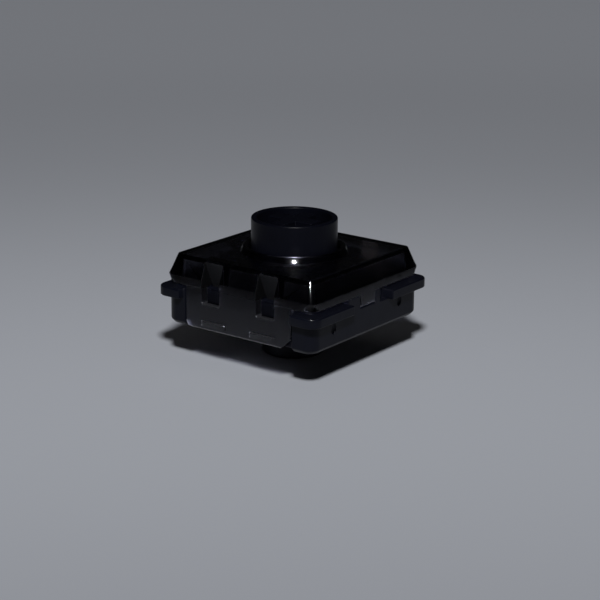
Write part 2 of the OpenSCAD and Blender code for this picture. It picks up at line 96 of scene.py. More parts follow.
# base
corner_r = 1.0
chamfer = 0.3
floor_t = 0.9
side_wall_t = 1.05
skirt_wall_t = 0.7
ear_z = 2.2
ear_t = 0.75
ear_top = ear_z + ear_t
ear_r = 0.95
ear_x0 = 5.2                        # where the ears start at the front and rear
ear_y0 = 2.5                        # and at the left and right
split_z = 3.25                      # where the base ends and the cover starts
base_round = 0.12                   # width of the rounded edges
base_fine_round = 0.07

# cover
band_h = 0.6
band_top = split_z + band_h
slope_in = 0.6                      # how far the slopes lean in up to the top face
cover_r = 1.1
hip_r = 0.65                        # radius of the slopes' corners, at their foot
hip_h = 0.35                        # height over which it stays
hip_top_r = 0.4
top_z = collar_top - 0.4
under_z = top_z - 0.5
collar_ro = 4.15
collar_ri = 3.5
skirt_half = 4.95
skirt_face = body_half - SEAM
skirt_back = skirt_face - 0.65
skirt_foot = 0.02
tab_half = 0.92
cover_round = 0.06

# between base and cover
wall_face = skirt_back - SEAM
cavity_y = wall_face - skirt_wall_t
cavity_x = body_half - side_wall_t
cavity_r = 0.4
window_x0 = 1.72
window_x1 = 3.42
sill_z = 2.05
hook_top = split_z - 0.15
slot_foot = skirt_face - 1.3        # the slots' backs stand here up to slot_bend, then lean out
slot_bend = 3.2
slot_top = 5.2

# stem
ring_ro = 3.3
ring_ri = 2.85
shoulder_z = 4.15
shoulder_top = 4.85
shoulder_half = 3.9
pocket_z = 4.9
leg_out = stem_high.x
leg_t = 0.8
leg_half = 1.2
leg_floor = 0.5
well_z = post_z + 0.5
well_r = 1.85

# terminals and contacts
rear_y = cavity_y + 0.35            # mid-plane of the terminals' sheets
rear_slot_y = rear_y + 0.15
sheet_t = 0.2
foot_z = floor_t + SEAM
pin_half = 0.5
leaf_t = 0.12
contact_x = (rivet_low.x + rivet_high.x) / 2
contact_z = (rivet_low.z + rivet_high.z) / 2
contact_r = (rivet_high.z - rivet_low.z) / 2
leaf_low_z = contact_z - 0.7        # edges of the leaf's arm
leaf_high_z = contact_z + 0.7
sheet_top = leaf_high_z - 0.2


# ---------------------------------------------------------------- solids, in millimetres

made = []


def new_solid(bm):
    bmesh.ops.remove_doubles(bm, verts=bm.verts, dist=NEAR)
    bmesh.ops.recalc_face_normals(bm, faces=bm.faces)
    mesh = bpy.data.meshes.new("solid")
    bm.to_mesh(mesh)
    bm.free()
    obj = bpy.data.objects.new("solid", mesh)
    bpy.context.scene.collection.objects.link(obj)
    made.append(obj)
    return obj


def loft(rings):
    """A closed solid through outlines that have the same number of points."""
    bm = bmesh.new()
    rows = [[bm.verts.new(p) for p in ring] for ring in rings]
    n = len(rows[0])
    for a, b in zip(rows, rows[1:]):
        for i in range(n):
            j = (i + 1) % n
            bm.faces.new((a[i], a[j], b[j], b[i]))
    bm.faces.new(list(reversed(rows[0])))
    bm.faces.new(rows[-1])
    return new_solid(bm)


def box(low, high):
    (x0, y0, z0), (x1, y1, z1) = low, high
    ring = [(x0, y0), (x1, y0), (x1, y1), (x0, y1)]
    return loft([[(x, y, z) for x, y in ring] for z in (z0, z1)])


def along(axis, a, b, points):
    """An outline drawn out along an axis: points are the other two coordinates in order."""
    place = {
        "x": lambda u, v, t: (t, u, v),
        "y": lambda u, v, t: (u, t, v),
        "z": lambda u, v, t: (u, v, t),
    }[axis]
    return loft([[place(u, v, t) for u, v in points] for t in (a, b)])


def arc(cx, cy, r, start, end, steps):
    return [
        (cx + r * math.cos(math.radians(start + (end - start) * k / steps)),
         cy + r * math.sin(math.radians(start + (end - start) * k / steps)))
        for k in range(steps + 1)
    ]


def round_rect(hx, hy, r, steps=12):
    pts = []
    for cx, cy, start in ((1, 1, 0), (-1, 1, 90), (-1, -1, 180), (1, -1, 270)):
        pts += arc(cx * (hx - r), cy * (hy - r), r, start, start + 90, steps)
    return pts


def at_z(points, z):
    return [(x, y, z) for x, y in points]


def lathe(profile, steps=144, centre=(0, 0)):
    """A solid of revolution about a vertical axis. The profile is (r, z), from bottom to top."""
    bm = bmesh.new()
    cx, cy = centre
    rows = []
    for r, z in profile:
        if r < NEAR:
            rows.append([bm.verts.new((cx, cy, z))])
        else:
            rows.append([
                bm.verts.new((cx + r * math.cos(2 * math.pi * k / steps),
                              cy + r * math.sin(2 * math.pi * k / steps), z))
                for k in range(steps)
            ])
    for a, b in zip(rows, rows[1:]):
        for k in range(steps):
            m = (k + 1) % steps
            if len(a) == 1 and len(b) > 1:
                bm.faces.new((a[0], b[m], b[k]))
            elif len(b) == 1 and len(a) > 1:
                bm.faces.new((a[k], a[m], b[0]))
            elif len(a) > 1:
                bm.faces.new((a[k], a[m], b[m], b[k]))
    if len(rows[0]) > 1:
        bm.faces.new(list(reversed(rows[0])))
    if len(rows[-1]) > 1:
        bm.faces.new(rows[-1])
    return new_solid(bm)


def cylinder(r, low, high, steps, centre=(0, 0)):
    return lathe([(0, low), (r, low), (r, high), (0, high)], steps, centre)


def bake(obj):
    """Applies the object's modifiers to its mesh."""
    dg = bpy.context.evaluated_depsgraph_get()
    mesh = bpy.data.meshes.new_from_object(obj.evaluated_get(dg), depsgraph=dg)
    obj.modifiers.clear()
    obj.data = mesh
    return obj


def boolean(obj, tools, operation):
    group = bpy.data.collections.new("tools")
    for t in tools:
        group.objects.link(t)
    mod = obj.modifiers.new("cut", "BOOLEAN")
    mod.operation = operation
    mod.solver = "EXACT"
    mod.operand_type = "COLLECTION"
    mod.collection = group
    bpy.context.view_layer.update()
    bake(obj)
    for t in tools:
        made.remove(t)
        bpy.data.objects.remove(t)
    bpy.data.collections.remove(group)
    return obj


def join(obj, *tools):
    return boolean(obj, list(tools), "UNION")


def cut(obj, *tools):
    return boolean(obj, list(tools), "DIFFERENCE")


def common(obj, *tools):
    return boolean(obj, list(tools), "INTERSECT")


def copies(obj, *matrices):
    """The object at each of the given places, and at its own."""
    out = [obj]
    for m in matrices:
        twin = obj.copy()
        twin.data = obj.data.copy()
        twin.data.transform(m)
        if m.determinant() < 0:
            twin.data.flip_normals()
        bpy.context.scene.collection.objects.link(twin)
        made.append(twin)
        out.append(twin)
    return out


MIRROR_X = Matrix.Diagonal((-1, 1, 1, 1))
HALF_TURN = Matrix.Rotation(math.pi, 4, "Z")
OTHER_CORNERS = (MIRROR_X, HALF_TURN, MIRROR_X @ HALF_TURN)


def clean(obj):
    """Joins the flat faces that the cuts have split."""
    bm = bmesh.new()
    bm.from_mesh(obj.data)
    bmesh.ops.remove_doubles(bm, verts=bm.verts, dist=2e-5)
    bmesh.ops.dissolve_limit(
        bm, angle_limit=math.radians(0.4), use_dissolve_boundaries=False,
        verts=bm.verts, edges=bm.edges, delimit=set())
    bmesh.ops.dissolve_degenerate(bm, dist=1e-5, edges=bm.edges)
    bm.to_mesh(obj.data)
    bm.free()


def soften(obj, width, finer=None, angle=17, segments=3):
    """Rounds the sharp edges. An edge beside a short one gets a narrower round.

    finer gives, for the middle of an edge, its share of the width.
    """
    clean(obj)
    bm = bmesh.new()
    bm.from_mesh(obj.data)
    layer = bm.edges.layers.float.get("bevel_weight_edge") or bm.edges.layers.float.new("bevel_weight_edge")
    limit = math.radians(angle)
    sharp = {e for e in bm.edges if len(e.link_faces) == 2 and e.calc_face_angle(0) > limit}
    least_share = 0.02
    for e in sharp:
        a, b = e.verts
        room = width * (finer((a.co + b.co) / 2) if finer else 1.0)
        run = (b.co - a.co).normalized()
        for v in (a, b):
            for beside in v.link_edges:
                far = beside.other_vert(v)
                if abs((far.co - v.co).normalized().dot(run)) > 0.85:
                    continue                    # the edge itself, or one that carries it on
                share = 0.45 if any(other in sharp for other in far.link_edges) else 0.9
                room = min(room, share * beside.calc_length())
        e[layer] = max(least_share, room / width)
    bm.to_mesh(obj.data)
    bm.free()
    mod = obj.modifiers.new("edges", "BEVEL")
    mod.limit_method = "WEIGHT"
    mod.offset_type = "OFFSET"
    mod.width = width
    mod.segments = segments
    mod.profile = 0.5
    mod.use_clamp_overlap = False
    mod.miter_outer = "MITER_SHARP"
    mod.harden_normals = False
    bpy.context.view_layer.update()
    return bake(obj)


def piece(obj, name, body, node, material):
    """Finishes a solid: metres, smooth shading, its body, its CAD node and its material."""
    made.remove(obj)
    obj.name = obj.data.name = name
    obj.data.transform(Matrix.Scale(MM, 4))
    for p in obj.data.polygons:
        p.use_smooth = True
    obj.data.set_sharp_from_angle(angle=math.radians(38))
    mod = obj.modifiers.new("normals", "WEIGHTED_NORMAL")
    mod.mode = "FACE_AREA"
    mod.weight = 50
    mod.keep_sharp = True
    mod = obj.modifiers.new("triangles", "TRIANGULATE")
    mod.min_vertices = 5
    mod.keep_custom_normals = True
    bpy.context.view_layer.update()
    bake(obj)
    obj.data.name = name
    obj.data.materials.clear()
    obj.data.materials.append(material)
    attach(obj, body)
    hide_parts(node)
    return obj


# ---------------------------------------------------------------- materials

bow_z = 0.8                         # where the skirts stand upright
bow_rate = 0.052                    # millimetres lost over a millimetre squared


def material(name):
    mat = bpy.data.materials.new(name)
    mat.use_nodes = True
    tree = mat.node_tree
    return mat, tree, tree.nodes["Principled BSDF"]


def node(tree, kind, **settings):
    n = tree.nodes.new(kind)
    for key, value in settings.items():
        if key in n.inputs:
            n.inputs[key].default_value = value
        else:
            setattr(n, key, value)
    return n


def noise(tree, scale, detail=3.0, roughness=0.55, stretch=None):
    """Noise in the object's own metres. Scale is in waves per millimetre."""
    place = node(tree, "ShaderNodeTexCoord")
    source = place.outputs["Object"]
    if stretch:
        mapping = node(tree, "ShaderNodeMapping")
        mapping.inputs["Scale"].default_value = stretch
        tree.links.new(source, mapping.inputs["Vector"])
        source = mapping.outputs["Vector"]
    n = node(tree, "ShaderNodeTexNoise", Scale=scale / MM, Detail=detail, Roughness=roughness)
    tree.links.new(source, n.inputs["Vector"])
    return n.outputs["Fac"]


def spread(tree, value, low, high, from_low=0.3, from_high=0.7):
    n = node(tree, "ShaderNodeMapRange")
    n.inputs["From Min"].default_value = from_low
    n.inputs["From Max"].default_value = from_high
    n.inputs["To Min"].default_value = low
    n.inputs["To Max"].default_value = high
    tree.links.new(value, n.inputs["Value"])
    return n.outputs["Result"]


def tint(tree, value, first, second):
    n = node(tree, "ShaderNodeMix", data_type="RGBA")
    n.inputs[6].default_value = (*first, 1)
    n.inputs[7].default_value = (*second, 1)
    tree.links.new(value, n.inputs["Factor"])
    return n.outputs[2]


def relief(tree, heights, shader):
    """Bumps from (height, depth in millimetres, strength) one after another."""
    last = None
    for value, depth, strength in heights:
        bump = node(tree, "ShaderNodeBump", Distance=depth * MM, Strength=strength)
        tree.links.new(value, bump.inputs["Height"])
        if last:
            tree.links.new(last, bump.inputs["Normal"])
        last = bump.outputs["Normal"]
    tree.links.new(last, shader.inputs["Normal"])


def navy_plastic(name, first, second, rough_low, rough_high, gloss):
    """Dark moulded plastic: a fine mould grain, slow shade changes and flow streaks.

    first and second are the shades, and gloss is the strength of the mirror reflection.
    """
    mat, tree, shader = material(name)
    slow = noise(tree, 0.35, 2.0)
    grain = noise(tree, 14.0, 4.0, 0.6)
    streak = noise(tree, 1.1, 3.0, 0.6, stretch=(1.0, 1.0, 0.16))
    tree.links.new(tint(tree, spread(tree, slow, 0, 1), first, second), shader.inputs["Base Color"])
    tree.links.new(spread(tree, streak, rough_low, rough_high), shader.inputs["Roughness"])
    shader.inputs["IOR"].default_value = 1.5
    shader.inputs["Specular IOR Level"].default_value = gloss
    relief(tree, [(grain, 0.004, 0.5), (streak, 0.01, 0.15)], shader)
    return mat


def bow(tree):
    """The slight outward bow of the skirts and their band, as a height in metres."""
    level = node(tree, "ShaderNodeSeparateXYZ")
    tree.links.new(node(tree, "ShaderNodeTexCoord").outputs["Object"], level.inputs["Vector"])
    above = node(tree, "ShaderNodeMath", operation="SUBTRACT")
    tree.links.new(level.outputs["Z"], above.inputs[0])
    above.inputs[1].default_value = bow_z * MM
    square = node(tree, "ShaderNodeMath", operation="POWER")
    tree.links.new(above.outputs[0], square.inputs[0])
    square.inputs[1].default_value = 2.0
    height = node(tree, "ShaderNodeMath", operation="MULTIPLY")
    tree.links.new(square.outputs[0], height.inputs[0])
    height.inputs[1].default_value = -bow_rate / MM
    part = node(tree, "ShaderNodeMath", operation="MULTIPLY")
    tree.links.new(height.outputs[0], part.inputs[0])
    tree.links.new(node(tree, "ShaderNodeAttribute", attribute_name="bowed").outputs["Fac"], part.inputs[1])
    return part.outputs[0]


def smoke_plastic(name):
    """Clear plastic with a dark dye all through it, polished on top and finely grained elsewhere."""
    mat, tree, shader = material(name)
    slow = noise(tree, 0.5, 2.0)
    fine = noise(tree, 9.0, 3.0)
    grain = noise(tree, 26.0, 4.0, 0.65)
    matt = node(tree, "ShaderNodeAttribute", attribute_name="matt").outputs["Fac"]
    shader.inputs["Base Color"].default_value = (0.92, 0.93, 0.96, 1)
    shader.inputs["Transmission Weight"].default_value = 1.0
    shader.inputs["IOR"].default_value = 1.49
    shader.inputs["Specular IOR Level"].default_value = 0.21
    shader.inputs["Specular Tint"].default_value = (0.93, 0.93, 1.0, 1)
    finish = node(tree, "ShaderNodeMix", data_type="FLOAT")
    tree.links.new(matt, finish.inputs["Factor"])
    tree.links.new(spread(tree, fine, 0.07, 0.10), finish.inputs[2])
    tree.links.new(spread(tree, slow, 0.50, 0.58), finish.inputs[3])
    tree.links.new(finish.outputs[0], shader.inputs["Roughness"])
    depth = node(tree, "ShaderNodeMath", operation="MULTIPLY")
    tree.links.new(matt, depth.inputs[0])
    tree.links.new(grain, depth.inputs[1])
    metre = 1 / MM
    relief(tree, [
        (bow(tree), metre, 1.0), (slow, 0.02, 0.12), (fine, 0.002, 0.2),
        (depth.outputs[0], 0.006, 0.5)], shader)
    dye = node(tree, "ShaderNodeVolumeAbsorption", Density=1900.0)
    dye.inputs["Color"].default_value = (0.135, 0.135, 0.21, 1)
    tree.links.new(dye.outputs["Volume"], tree.nodes["Material Output"].inputs["Volume"])
    clear = node(tree, "ShaderNodeBsdfTransparent")
    clear.inputs["Color"].default_value = (1, 1, 1, 1)
    either = node(tree, "ShaderNodeMixShader")
    tree.links.new(node(tree, "ShaderNodeLightPath").outputs["Is Shadow Ray"], either.inputs["Fac"])
    tree.links.new(shader.outputs["BSDF"], either.inputs[1])
    tree.links.new(clear.outputs["BSDF"], either.inputs[2])
    tree.links.new(either.outputs["Shader"], tree.nodes["Material Output"].inputs["Surface"])
    return mat


def painted_light_plastic(name):
    """The same plastic, opaque and with a fine grain, whose colour is painted light and shade: a painted glow
    on the skirts' rims, corners, ends, sills and tabs, painted light on the slots' backs and painted shade on
    their left walls. Each face holds its own level.
    """
    mat, tree, shader = material(name)
    fine = noise(tree, 9.0, 3.0)
    grain = noise(tree, 26.0, 4.0, 0.65)
    shade = node(tree, "ShaderNodeMath", operation="MULTIPLY")
    tree.links.new(node(tree, "ShaderNodeAttribute", attribute_name="painted_light_level").outputs["Fac"], shade.inputs[0])
    tree.links.new(spread(tree, fine, 0.8, 1.2), shade.inputs[1])
    hue = node(tree, "ShaderNodeVectorMath", operation="SCALE")
    hue.inputs[0].default_value = (0.94, 0.97, 1.14)
    tree.links.new(shade.outputs[0], hue.inputs["Scale"])
    tree.links.new(hue.outputs[0], shader.inputs["Base Color"])
    tree.links.new(spread(tree, grain, 0.42, 0.58), shader.inputs["Roughness"])
    shader.inputs["Specular IOR Level"].default_value = 0.1
    relief(tree, [(grain, 0.004, 0.4)], shader)
    return mat


def metal(name, first, second, rough_low, rough_high, stretch):
    """Rolled or drawn metal: lines along the sheet and slow tarnish."""
    mat, tree, shader = material(name)
    slow = noise(tree, 0.9, 3.0)
    lines = noise(tree, 16.0, 3.0, 0.6, stretch=stretch)
    tree.links.new(tint(tree, spread(tree, slow, 0, 1), first, second), shader.inputs["Base Color"])
    shader.inputs["Metallic"].default_value = 1.0
    tree.links.new(spread(tree, lines, rough_low, rough_high), shader.inputs["Roughness"])
    relief(tree, [(lines, 0.004, 0.35)], shader)
    return mat


navy = ((0.0026, 0.0030, 0.0058), (0.0036, 0.0041, 0.0080))
# darker navy for the hooks' backs, a painted shade for their place in the windows' recesses
recess_shaded_navy = ((0.0012, 0.0014, 0.0030), (0.0024, 0.0027, 0.0050))
stem_navy = ((0.0016, 0.0018, 0.0038), (0.0023, 0.0026, 0.0052))
base_plastic = navy_plastic("base_navy", *navy, 0.33, 0.43, 0.135)
# the hooks' backs: a real grain, with painted shade in their darker colour
base_grained_and_shaded = navy_plastic("base_grained_and_shaded", *recess_shaded_navy, 0.50, 0.62, 0.06)
base_rubbed = navy_plastic("base_rubbed", *navy, 0.16, 0.24, 0.30)
stem_plastic = navy_plastic("stem_navy", *stem_navy, 0.27, 0.36, 0.10)
cover_plastic = smoke_plastic("smoked_clear")
# the cover's faces whose colour is painted light and shade
cover_painted_light = painted_light_plastic("smoked_painted_light")
brass = metal("tinned_brass", (0.82, 0.76, 0.70), (0.72, 0.66, 0.60), 0.42, 0.55, (1.0, 1.0, 0.05))
bronze = metal("leaf_bronze", (0.74, 0.48, 0.28), (0.66, 0.42, 0.25), 0.18, 0.32, (0.05, 1.0, 1.0))
silver = metal("contact_silver", (0.86, 0.86, 0.85), (0.78, 0.78, 0.78), 0.16, 0.30, (1.0, 1.0, 1.0))
steel = metal("spring_steel", (0.56, 0.57, 0.59), (0.48, 0.49, 0.52), 0.20, 0.34, (1.0, 1.0, 0.3))


# ---------------------------------------------------------------- base

def base_shell():
    """The base before it is hollowed: a tub with a neck, four ears and the centre post."""
    low = body_half - chamfer
    outline = [at_z(round_rect(low, low, corner_r - chamfer), 0)]
    outline += [at_z(round_rect(body_half, body_half, corner_r), z) for z in (chamfer, ear_top)]
    shell = loft(outline)
    neck_half = body_half - 0.5
    neck = along("z", ear_top - LAP, split_z, round_rect(neck_half, neck_half, 0.5))
    flush = box((-body_half, -ear_y0, 1.0), (body_half, ear_y0, split_z))
    ear = along("z", ear_z, ear_top, [
        (ear_x0, -flange_half), *arc(flange_half - ear_r, ear_r - flange_half, ear_r, -90, 0, 10),
        (flange_half, -ear_y0), (ear_x0, -ear_y0)])
    ears = copies(ear, *OTHER_CORNERS)
    post = lathe([(0, post_z), (post_r - 0.2, post_z), (post_r, post_z + 0.2), (post_r, 0.2), (0, 0.2)], 96)
    return join(shell, neck, flush, *ears, post)


def base_rooms():
    """The room inside, and the recesses for the cover's skirts and tabs."""
    side_gap = 0.1
    notch_half = 1.0
    hollow = along("z", floor_t, split_z + OVER, round_rect(cavity_x, cavity_y, cavity_r, 6))
    recess = box((-skirt_half - side_gap, -flange_half - OVER, -OVER),
                 (skirt_half + side_gap, -wall_face, split_z + OVER))
    notch = box((body_half - 0.75, -notch_half, split_z - 1.0),
                (body_half + OVER, notch_half, split_z + OVER))
    ear_notch = box((body_half - 0.5, ear_y0 - 0.9, ear_z),
                    (flange_half + OVER, ear_y0, split_z + OVER))
    return [hollow, *copies(recess, HALF_TURN), *copies(notch, MIRROR_X), *copies(ear_notch, MIRROR_X)]


def side_dimples():
    """Shallow oval dimples in the left and right faces."""
    steps = 16
    out = []
    for y, z in ((-4.35, 1.5), (4.15, 1.65)):
        ball = lathe([(math.sin(math.pi * k / steps), -math.cos(math.pi * k / steps))
                      for k in range(steps + 1)], 32)
        ball.data.transform(Matrix.Translation((body_half, y, z)) @ Matrix.Diagonal((0.16, 0.30, 0.42, 1)))
        out += copies(ball, MIRROR_X)
    return out


def base_slots():
    """The slots for the stem's legs, the spring, the snap hooks and the terminals."""
    leg = box((leg_out - leg_t - SEAM, -leg_half - SEAM, leg_floor), (leg_out + SEAM, leg_half + SEAM, 2.0))
    well = cylinder(well_r, well_z, floor_t + 0.5, 64)
    lowered = box((window_x0 - SEAM, -body_half, hook_top),
                  (window_x1 + SEAM, -cavity_y + OVER, split_z + OVER))
    pin_room = pin_half + SEAM
    sheet_room = rear_slot_y - rear_y
    return [
        *copies(leg, MIRROR_X), well, *copies(lowered, MIRROR_X),
        box((leaf_pin_x - 0.7, cavity_y - OVER, floor_t),
            (hinge_x + 2.25, rear_slot_y, split_z + OVER)),
        box((leaf_pin_x - pin_room, leaf_pin_y - sheet_room, -OVER),
            (leaf_pin_x + pin_room, leaf_pin_y + sheet_room, floor_t + OVER)),
        box((fixed_pin_x - pin_room, cavity_y - OVER, floor_t),
            (contact_x + 1.25, rear_slot_y, split_z + OVER)),
        box((fixed_pin_x - pin_room, rear_y - sheet_room, -OVER),
            (fixed_pin_x + pin_room, rear_y + sheet_room, floor_t + OVER)),
    ]


def mould_marks():
    """Marks of the mould under the floor: four ejector pins, the gate's dimple and the post's end."""
    gate_y = -4.4
    deep = 0.5
    ejectors = [cylinder(0.6, -deep, 0.03, 40, (x, y)) for x in (-4.9, 4.9) for y in (gate_y, 2.6)]
    gate = lathe([(0, -deep), (0.35, -deep), (0.35, 0.0), (0.25, 0.06), (0, 0.08)], 32, (0, gate_y))
    dimple = lathe([(0, post_z - deep), (1.2, post_z - deep), (1.2, post_z + 0.05), (1.1, post_z + 0.09),
                    (0, post_z + 0.09)], 64)
    return [*ejectors, gate, dimple]


def snap_hooks():
    """The hooks that the windows of the skirts snap over."""
    face = skirt_face - 0.35
    root = wall_face - LAP
    low = sill_z + SEAM
    hook = along("x", window_x0 + 0.25, window_x1 - 0.25, [
        (-root, low), (-face, low), (-face, hook_top - 0.25), (-face + 0.15, hook_top), (-root, hook_top)])
    return copies(hook, *OTHER_CORNERS)


def inner_ribs():
    """The ribs that guide the stem's legs, the four corner posts, and the shelf under the leaf's root."""
    rib_t = 0.6
    out = []
    for y in (leg_half + SEAM, -leg_half - SEAM - rib_t):
        foot = box((leg_out - 0.6, y, floor_t - LAP), (cavity_x + LAP, y + rib_t, split_z - 0.1))
        out += copies(foot, MIRROR_X)
        head = box((leg_out - 0.6, y, split_z - 0.1 - LAP), (cavity_x - SEAM, y + rib_t, shoulder_z - 0.15))
        out += copies(head, MIRROR_X)
    place = shoulder_half - 0.7
    out += [cylinder(0.5, floor_t - LAP, 1.6, 32, (x, y)) for x in (-place, place) for y in (-place, place)]
    return [*out, cylinder(0.4, floor_t - LAP, 1.95, 32, (hinge_x, hinge_y))]


def base_rounding(c):
    """The share of its full width that the round of an edge gets, by the edge's middle."""
    on_ear = max(abs(c.x), abs(c.y)) > body_half + 0.1 and c.z > ear_top - 0.05
    return 1.0 if on_ear else base_fine_round / base_round


def base_housing():
    """The housing. The backs of its hooks are grained and darker, a painted shade in the windows' recesses,
    and the ears' upper rims rubbed smooth.
    """
    obj = base_shell()
    cut(obj, *base_rooms(), *side_dimples(), *base_slots(), *mould_marks())
    join(obj, *snap_hooks(), *inner_ribs())
    soften(obj, base_round, base_rounding)
    shell = piece(obj, "housing_shell", "housing", "base_housing", base_plastic)
    shell.data.materials.append(base_grained_and_shaded)
    shell.data.materials.append(base_rubbed)
    plain, grained, rubbed = range(3)
    near = 0.03
    for face in shell.data.polygons:
        c = face.center / MM
        at_hook = window_x0 < abs(c.x) < window_x1 and sill_z < c.z < hook_top + near
        on_ear = max(abs(c.x), abs(c.y)) > body_half + 0.1 and c.z > ear_top - 0.15
        # the hooks' backs, grained and painted darker as shade
        if at_hook and abs(c.y) > wall_face + near:
            face.material_index = grained
        elif on_ear and 0.2 < face.normal.z < 0.95:
            face.material_index = rubbed
        else:
            face.material_index = plain
    return shell


# ---------------------------------------------------------------- cover

def skirt():
    """The front skirt with its two clips. One lower corner is round and the other cut off."""
    edge = 0.14
    round_r = 0.5
    front = along("x", -skirt_half, skirt_half, [
        (-skirt_back, skirt_foot), (-skirt_face + edge, skirt_foot), (-skirt_face, skirt_foot + edge),
        (-skirt_face, split_z + LAP), (-skirt_back, split_z + LAP)])
    shape = along("y", -flange_half, 0, [
        *arc(-skirt_half + round_r, skirt_foot + round_r, round_r, -90, -180, 8),
        (-skirt_half, split_z + OVER), (skirt_half, split_z + OVER),
        (skirt_half, 0.87), (skirt_half - 1.0, skirt_foot)][::-1])
    clip = along("x", 1.2, 3.4, [
        (-skirt_face + LAP, 0.32), (-skirt_face, 0.32), (-skirt_face - 0.2, 0.74), (-skirt_face + LAP, 0.74)])
    return join(common(front, shape), *copies(clip, MIRROR_X))


def cover_outline(half, r, z):
    return at_z(round_rect(half, half, r, 16), z)


def cover_shell():
    """The band and slopes with both skirts and tabs, hollowed from below."""
    hip_half = body_half - slope_in * hip_h / (top_z - band_top)
    obj = loft([
        cover_outline(body_half, cover_r, split_z), cover_outline(body_half, hip_r, band_top),
        cover_outline(hip_half, hip_r, band_top + hip_h),
        cover_outline(body_half - slope_in, hip_top_r, top_z)])
    tab = box((body_half - 0.7, -tab_half, split_z - 0.9), (body_half, tab_half, split_z + LAP))
    join(obj, *copies(skirt(), HALF_TURN), *copies(tab, MIRROR_X))
    return cut(obj, along("z", split_z - OVER, under_z, round_rect(cavity_x, rear_slot_y, cavity_r, 6)))


def collar():
    edge = 0.1
    return lathe([
        (0, top_z - LAP), (collar_ro, top_z - LAP), (collar_ro, top_z + 0.03),
        *arc(collar_ro - 0.28, collar_top - edge, edge, 30, 90, 6), (0, collar_top)], 160)


def collar_bore():
    rim = 0.15
    room = collar_ri + SEAM                     # below the cover, wider than in the collar
    return lathe([
        (0, under_z - OVER), (room, under_z - OVER), (room, under_z), (collar_ri, under_z + SEAM),
        *arc(collar_ri + rim, collar_top - rim, rim, 180, 90, 10),
        (collar_ri + rim, collar_top + OVER), (0, collar_top + OVER)], 160)


def slot_backing():
    """The plastic behind the slots, which would otherwise open into the hollow."""
    back_y = -slot_foot + 0.45
    high = box((window_x0 - 0.4, -rear_slot_y - 0.1, split_z + SEAM),
               (window_x1 + 0.4, back_y, under_z + LAP))
    low = box((window_x0, -slot_foot - 0.1, hook_top + 0.02), (window_x1, back_y, split_z + LAP))
    return [*copies(high, MIRROR_X), *copies(low, MIRROR_X)]


def window_cutters(top):
    """The front skirt's two windows, up to a height."""
    r = 0.25
    return copies(along("y", -flange_half - OVER, -skirt_back + 0.2, [
        *arc(window_x0 + r, sill_z + r, r, 180, 270, 8), *arc(window_x1 - r, sill_z + r, r, 270, 360, 8),
        (window_x1, top), (window_x0, top)]), MIRROR_X)


def slot_cutters():
    """The slots in which the front windows go on up the slope."""
    top_y = -body_half + slope_in * (slot_top - band_top) / (top_z - band_top)
    return copies(along("x", window_x0, window_x1, [
        (-flange_half, split_z - OVER), (-slot_foot, split_z - OVER), (-slot_foot, slot_bend),
        (top_y, slot_top), (-flange_half, slot_top)]), MIRROR_X)


def cover_rounding(c):
    """The share of its full width that the round of an edge gets, by the edge's middle."""
    by_window = window_x0 - 0.05 < abs(c.x) < window_x1 + 0.05 and abs(c.y) > slot_foot
    at_slot = by_window and hook_top < c.z < slot_top + 0.1
    at_collar = abs(c.z - top_z) < 0.02 and math.hypot(c.x, c.y) < collar_ro + 0.05
    return 0.4 if at_slot or at_collar else 1.0


GRAIN = {"slot": 1.0, "jamb": 0.8, "wall": 0.6, "ceiling": 0.4, "inside": 0.85, "polished": 0.0}
# base colours for the cover's opaque faces: painted glow on the skirts' rims, corners, ends, sills and tabs,
# painted light on the slots' backs, painted shade on their left walls, and none where the cover stays clear
PAINTED_LIGHT_LEVELS = {"slot_wall": 0.003, "slot_back": 0.011, "sill": 0.018, "skirt_corner": 0.5, "skirt_end": 0.03,
        "rim": 0.3, "tab": 0.2, "clear": 0.0}


def at_window(c):
    return window_x0 - 0.1 < abs(c.x) < window_x1 + 0.1


def in_slot(c, n):
    """Whether a face that looks outwards is the back of a slot."""
    deep = abs(c.y) > slot_foot - 0.1
    return at_window(c) and deep and hook_top < c.z < slot_top - 0.05 and c.y * n.y > 0.1


def at_jamb(c):
    return at_window(c) and abs(c.y) > skirt_back - 0.05 and c.z < split_z


def on_outer_wall(c):
    return max(abs(c.x), abs(c.y)) > skirt_face - 0.08 and c.z < band_top + 0.02


def grain_of(c, n):
    """How grained a face of the cover is."""
    if in_slot(c, n):
        return GRAIN["slot"]
    if at_jamb(c):
        return GRAIN["jamb"]
    if on_outer_wall(c) and (max(abs(n.x), abs(n.y)) > 0.97 or n.z < -0.3):
        return GRAIN["wall"]
    if max(abs(c.x), abs(c.y)) < cavity_x + 0.15 and c.z < top_z - 0.3:
        return GRAIN["ceiling"] if n.z < -0.5 else GRAIN["inside"]
    return GRAIN["polished"]


def bow_of(c, n):
    """How much a face shares in the bow of the skirts and their band."""
    if not on_outer_wall(c):
        return 0.0
    return 1.0 if abs(n.y) > 0.95 else 0.7 if abs(n.x) > 0.95 else 0.0


